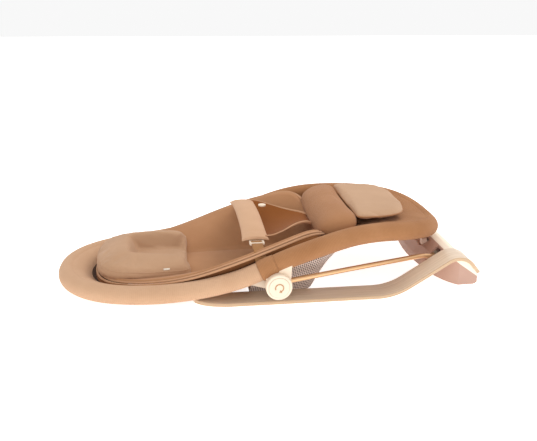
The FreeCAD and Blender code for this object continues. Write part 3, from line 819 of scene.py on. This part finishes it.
def bent_line(corners, radii):
    """Straight runs joined by arcs of the given radii: points in the side view, in metres."""
    corners = np.array(corners, float)
    points = [corners[0]]
    for a, b, c, radius in zip(corners, corners[1:], corners[2:], radii):
        back, ahead = (a - b) / np.linalg.norm(a - b), (c - b) / np.linalg.norm(c - b)
        half_turn = 0.5 * (math.pi - math.acos(float(back @ ahead)))
        hub = b + (back + ahead) / np.linalg.norm(back + ahead) * radius / math.cos(half_turn)
        cut = radius * math.tan(half_turn)
        first, last = b + back * cut - hub, b + ahead * cut - hub
        t = np.linspace(0, 1, 18)[:, None]
        arc = first * np.sin((1 - t) * 2 * half_turn) + last * np.sin(t * 2 * half_turn)
        points += list(hub + arc / math.sin(2 * half_turn))
    points.append(corners[-1])
    return np.array(points) * MM


def wood(name, light, dark, along_scale, across_scale, spread):
    """Long-grained wood: noise drawn out along the band, in two tones, under satin lacquer."""
    material, shader, tree_nodes, links = empty_material(name)
    where = tree_nodes.new("ShaderNodeUVMap")
    where.uv_map = "cloth"
    scale = tree_nodes.new("ShaderNodeMapping")
    scale.inputs["Scale"].default_value = (along_scale, across_scale, 1)
    links.new(where.outputs["UV"], scale.inputs["Vector"])
    grain = tree_nodes.new("ShaderNodeTexNoise")
    grain.inputs["Scale"].default_value = 1.0
    grain.inputs["Detail"].default_value = 6.0
    grain.inputs["Roughness"].default_value = 0.6
    links.new(scale.outputs["Vector"], grain.inputs["Vector"])
    tone = tree_nodes.new("ShaderNodeMapRange")
    tone.inputs["From Min"].default_value = 0.5 - spread
    tone.inputs["From Max"].default_value = 0.5 + spread
    links.new(grain.outputs["Fac"], tone.inputs["Value"])
    colour = tree_nodes.new("ShaderNodeMix")
    colour.data_type = "RGBA"
    colour.inputs["A"].default_value = srgb(*dark)
    colour.inputs["B"].default_value = srgb(*light)
    links.new(tone.outputs["Result"], colour.inputs["Factor"])
    links.new(colour.outputs["Result"], shader.inputs["Base Color"])
    bump = tree_nodes.new("ShaderNodeBump")
    bump.inputs["Strength"].default_value = 0.15
    bump.inputs["Distance"].default_value = 0.0004
    links.new(grain.outputs["Fac"], bump.inputs["Height"])
    links.new(bump.outputs["Normal"], shader.inputs["Normal"])
    shader.inputs["Roughness"].default_value = 0.42
    shader.inputs["Coat Weight"].default_value = 0.15
    shader.inputs["Coat Roughness"].default_value = 0.3
    return material


ash_face = wood("ash_face", (228, 208, 186), (204, 180, 154), 7.0, 260.0, 0.22)
ash_edge = wood("ash_edge", (214, 184, 150), (176, 142, 108), 3.0, 1500.0, 0.16)
spine_line = bent_line(RUNNER, RUNNER_BEND)
start = spine_line[0] + (spine_line[1] - spine_line[0]) * np.linspace(0, 1, 20)[:, None] ** 2
spine_line = np.concatenate([start, spine_line[2:]])
ahead = along(np.stack([spine_line[:, 0], 0 * spine_line[:, 0], spine_line[:, 1]], -1))
lift = np.stack([-ahead[:, 2], 0 * ahead[:, 0], ahead[:, 0]], -1)
centre = np.stack([spine_line[:, 0], 0 * spine_line[:, 0], spine_line[:, 1]], -1) - lift * RUNNER_THICK / 2
soft = 0.0016
quarter = np.linspace(0, np.pi / 2, 5)
corner_w, corner_h = RUNNER_WIDE / 2 - soft, RUNNER_THICK / 2 - soft
run = np.concatenate([[0.0], np.cumsum(np.linalg.norm(np.diff(centre, axis=0), axis=1))])
angles = [quarter + k * np.pi / 2 for k in range(4)]
signs = [(1, 1), (-1, 1), (-1, -1), (1, -1)]
profile = np.concatenate([np.stack([sw * corner_w + soft * np.cos(a), sh * corner_h + soft * np.sin(a)], -1)
                          for a, (sw, sh) in zip(angles, signs)])
for side, label in ((-1, "left"), (1, "right")):
    nose = np.sqrt(np.clip(1 - (1 - np.clip((run + 0.0004) / TIP_LONG, 0, 1)) ** 2, 0.0004, 1))
    tail = np.sqrt(np.clip(1 - (1 - np.clip((run[-1] - run + 0.003) / 0.008, 0, 1)) ** 2, 0.6, 1))
    band = centre[:, None] + lift[:, None] * profile[None, :, 1:]
    band = band + np.array([0, 1.0, 0]) * profile[None, :, :1] * (nose * tail)[:, None, None]
    band[..., 1] += side * RUNNER_Y
    mesh = grid_mesh("runner", capped(band), wrap_v=True, flip=True)
    runner = piece(f"runner_band_{label}", mesh, "base", ash_face)
    mesh.materials.append(ash_edge)
    normals = np.empty(len(mesh.polygons) * 3)
    mesh.polygons.foreach_get("normal", normals)
    mesh.polygons.foreach_set("material_index", (np.abs(normals.reshape(-1, 3)[:, 1]) > 0.5).astype(np.int32))
    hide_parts(f"runner_{label}")

# ---- Mouldings and metal ----
# Crosspiece, hubs, buttons and buckles are fine-textured matt mouldings; the spring frame is a
# lacquered wire; the pads are rubber; the tubes, pins and screws are plain metal.


def moulded(name, light, dark, roughness, grain_depth=0.12, metallic=0.0):
    """Moulded or lacquered stuff: spark-eroded grain on the surface and a faint unevenness of tone."""
    material, shader, tree_nodes, links = empty_material(name)
    place = tree_nodes.new("ShaderNodeTexCoord")
    grain = tree_nodes.new("ShaderNodeTexNoise")
    grain.inputs["Scale"].default_value = 1400.0
    cloud = tree_nodes.new("ShaderNodeTexNoise")
    cloud.inputs["Scale"].default_value = 22.0
    for texture in (grain, cloud):
        links.new(place.outputs["Object"], texture.inputs["Vector"])
    colour = tree_nodes.new("ShaderNodeMix")
    colour.data_type = "RGBA"
    colour.inputs["A"].default_value = srgb(*dark)
    colour.inputs["B"].default_value = srgb(*light)
    links.new(cloud.outputs["Fac"], colour.inputs["Factor"])
    links.new(colour.outputs["Result"], shader.inputs["Base Color"])
    bump = tree_nodes.new("ShaderNodeBump")
    bump.inputs["Strength"].default_value = grain_depth
    bump.inputs["Distance"].default_value = 0.0003
    links.new(grain.outputs["Fac"], bump.inputs["Height"])
    links.new(bump.outputs["Normal"], shader.inputs["Normal"])
    shader.inputs["Roughness"].default_value = roughness
    shader.inputs["Metallic"].default_value = metallic
    return material


cream = moulded("cream_moulding", (240, 222, 200), (226, 206, 182), 0.48)
mauve = moulded("mauve_moulding", (206, 176, 158), (188, 158, 140), 0.5)
buckle = moulded("buckle_moulding", (238, 222, 202), (224, 206, 184), 0.35)
pale_nylon = moulded("pale_nylon", (218, 200, 180), (204, 186, 164), 0.5)
gold = moulded("gold_lacquer", (236, 194, 148), (222, 176, 128), 0.3, 0.03, 0.7)
steel = moulded("steel", (190, 188, 186), (170, 168, 166), 0.35, 0.05, 1.0)
alloy = moulded("alloy_tube", (200, 200, 202), (184, 184, 188), 0.35, 0.05, 1.0)
rubber = moulded("pad_rubber", (170, 146, 122), (150, 126, 104), 0.8, 0.3)
# Painted shade and painted light: the crosspiece's head side, turned away from the key light, gets a shaded
# mauve, and its upper foot side a pale lit tone.
crosspiece_shade_and_light = moulded("crosspiece_painted_shade_and_light", (190, 152, 134), (172, 136, 120), 0.5)


def paint_lit_side(material, pale):
    """Painted light on the crosspiece: its upper, foot side, which the key light falls on, in the pale tone
    beyond a slanted plane along its edge; the rest keeps the painted shaded tone.
    """
    tree_nodes, links = material.node_tree.nodes, material.node_tree.links
    shader = tree_nodes["Principled BSDF"]
    under = shader.inputs["Base Color"].links[0].from_socket
    place = tree_nodes.new("ShaderNodeTexCoord")
    across = tree_nodes.new("ShaderNodeVectorMath")
    across.operation = "DOT_PRODUCT"
    across.inputs[1].default_value = (0.58, 0.0, 0.81)
    links.new(place.outputs["Object"], across.inputs[0])
    edge = tree_nodes.new("ShaderNodeMapRange")
    edge.inputs["From Min"].default_value = 0.3008
    edge.inputs["From Max"].default_value = 0.3014
    links.new(across.outputs["Value"], edge.inputs["Value"])
    tone = tree_nodes.new("ShaderNodeMix")
    tone.data_type = "RGBA"
    tone.inputs["B"].default_value = srgb(*pale)
    links.new(edge.outputs["Result"], tone.inputs["Factor"])
    links.new(under, tone.inputs["A"])
    links.new(tone.outputs["Result"], shader.inputs["Base Color"])


# Painted light: the pale tone that the lit upper foot side of the crosspiece gets.
paint_lit_side(crosspiece_shade_and_light, (244, 230, 210))
FINISHES = {crosspiece_shade_and_light: ["crosspiece_upper", "crosspiece_lower"],
            cream: ["hub_housing_left", "hub_housing_right", "hub_cap_left", "hub_cap_right",
                    "recline_button_left", "recline_button_right", "belt_snap"],
            mauve: ["fold_button_left", "fold_button_right"],
            buckle: ["strap_adjuster_left", "strap_adjuster_right"],
            pale_nylon: ["fold_bush_left", "fold_bush_right", "hub_core_left", "hub_core_right",
                         "back_bracket_left", "back_bracket_right"],
            gold: ["spring_wire"],
            steel: ["crosspiece_screws", "pivot_pin_left", "pivot_pin_right", "button_spring_left",
                    "button_spring_right"],
            alloy: ["leg_tube", "back_tube"],
            rubber: ["foot_pads"]}
for finish, names in FINISHES.items():
    for name in names:
        nodes[name].data.materials.clear()
        nodes[name].data.materials.append(finish)

# ---- Marks and labels ----
# A moulded-in mark of a turning arrow on each hub button, a woven label on the liner's outer
# side and a small one on the pillow.
mark_tone = moulded("mark_inlay", (192, 148, 106), (182, 138, 98), 0.45)
MARK_R, MARK_BAND, MARK_FACE = 0.0085, 0.0013, 0.2306
HUB_X, HUB_Z, ARROW_HALF, ARROW_LONG = 0.010, 0.053, 0.0042, 0.0058
turn = np.radians(np.linspace(-60, 205, 48))
for side, label in ((-1, "left"), (1, "right")):
    arc = []
    for radius in (MARK_R - MARK_BAND, MARK_R + MARK_BAND):
        arc.append(np.stack([HUB_X + radius * np.cos(turn), np.full(48, side * MARK_FACE),
                             HUB_Z + radius * np.sin(turn)], -1))
    arc = np.stack(arc, 1)
    mark = piece(f"hub_mark_{label}", grid_mesh("hub_mark", arc, flip=side > 0), f"recline_button_{label}",
                 mark_tone)
    mark.modifiers.new("inlay", "SOLIDIFY").thickness = 0.0003
    end = turn[0]
    out = np.array([math.cos(end), math.sin(end)])
    back = np.array([math.sin(end), -math.cos(end)])
    root = np.array([HUB_X, HUB_Z]) + MARK_R * out
    corners = np.array([root - ARROW_HALF * out, root + ARROW_HALF * out, root + ARROW_LONG * back,
                        root + 0.98 * ARROW_LONG * back])
    grid = np.stack([corners[:, 0], np.full(4, side * MARK_FACE), corners[:, 1]], -1).reshape(2, 2, 3)
    head = piece(f"hub_arrow_{label}", grid_mesh("hub_arrow", grid[:, ::-1] if side > 0 else grid),
                 f"recline_button_{label}", mark_tone)
    head.modifiers.new("inlay", "SOLIDIFY").thickness = 0.0003

label_cloth = cloth("label_ribbon", (240, 232, 218), (226, 216, 200), across=900.0, lengthwise=900.0,
                    thread=0.2)
near_rim = rim_loop[(rim_loop[:, 1] < 0) & (rim_loop[:, 0] > -0.224) & (rim_loop[:, 0] < -0.180)]
near_rim = near_rim[np.argsort(near_rim[:, 0])]
low = near_rim + np.array([0, -0.0085, -0.0125])
ribbon = np.stack([low, low + np.array([0, 0.0010, 0.0055])], 1)
tag = piece("liner_label", grid_mesh("liner_label", ribbon), "back_frame", label_cloth)
tag.modifiers.new("cloth", "SOLIDIFY").thickness = 0.0008
spot = np.stack(np.meshgrid(np.linspace(-0.228, -0.214, 6), [0.062, 0.068], indexing="ij"), -1)
spot = np.stack([spot[..., 0], np.full((6, 2), -0.125), spot[..., 1]], -1)
spot = laid_on(spot.reshape(-1, 3), pillow, 0.0006).reshape(6, 2, 3)
small = piece("pillow_label", grid_mesh("pillow_label", spot), "back_frame", label_cloth)
small.modifiers.new("cloth", "SOLIDIFY").thickness = 0.0006
